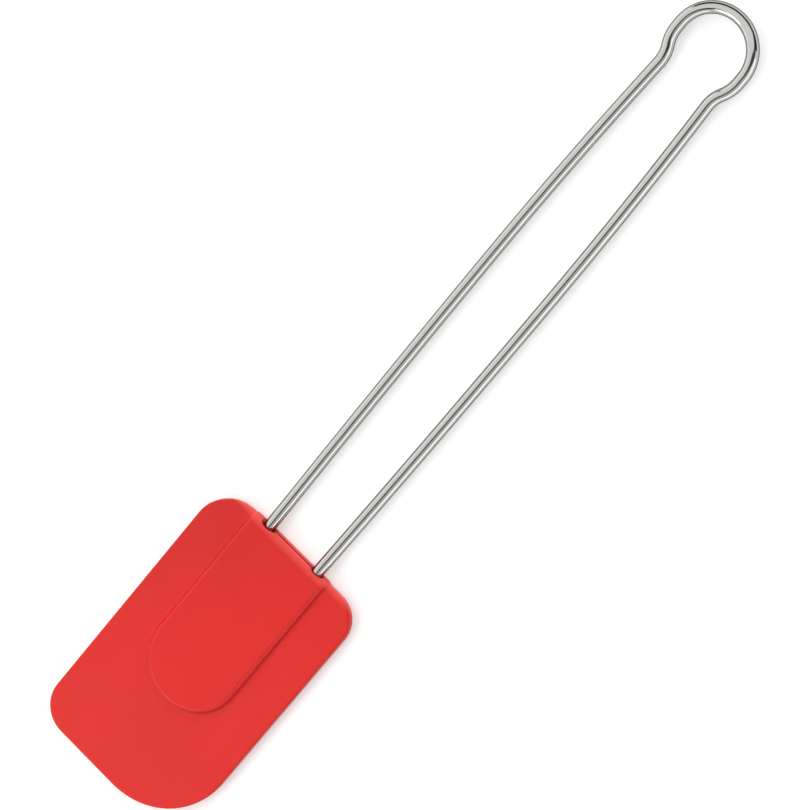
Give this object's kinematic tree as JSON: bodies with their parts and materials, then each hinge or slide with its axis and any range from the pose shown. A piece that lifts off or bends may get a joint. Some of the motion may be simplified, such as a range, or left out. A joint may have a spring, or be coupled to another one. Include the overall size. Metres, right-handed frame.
{
  "type": "silicone spatula",
  "caption": "Flat kitchen spatula: a soft silicone blade with a raised pocket that slips over the stiffened ends of a bent-wire handle with a hanging ring.",
  "frame": {"origin": "middle of the bounding box's lowest face: the spatula lies on its back, on the pocket's flat rear face", "axes": "+X from the blade's tip to the hanging ring, +Y to the left of that with the front face up, +Z the front face's normal"},
  "size_m": [0.2816, 0.0545, 0.006],
  "materials": {
    "polished_wire": "polished stainless steel wire",
    "plate_steel": "rolled stainless steel sheet",
    "silicone": "satin moulded silicone, warm red"
  },
  "bodies": {
    "handle": {"wire_handle": "polished_wire", "stiffener_plate": "plate_steel"},
    "head": {"silicone_head": "silicone"}
  },
  "joints": [
    {"name": "head_pull_off", "type": "slide", "parent": "handle", "child": "head", "axis": [-1, 0, 0], "range_m": [0, 0.06]}
  ]
}
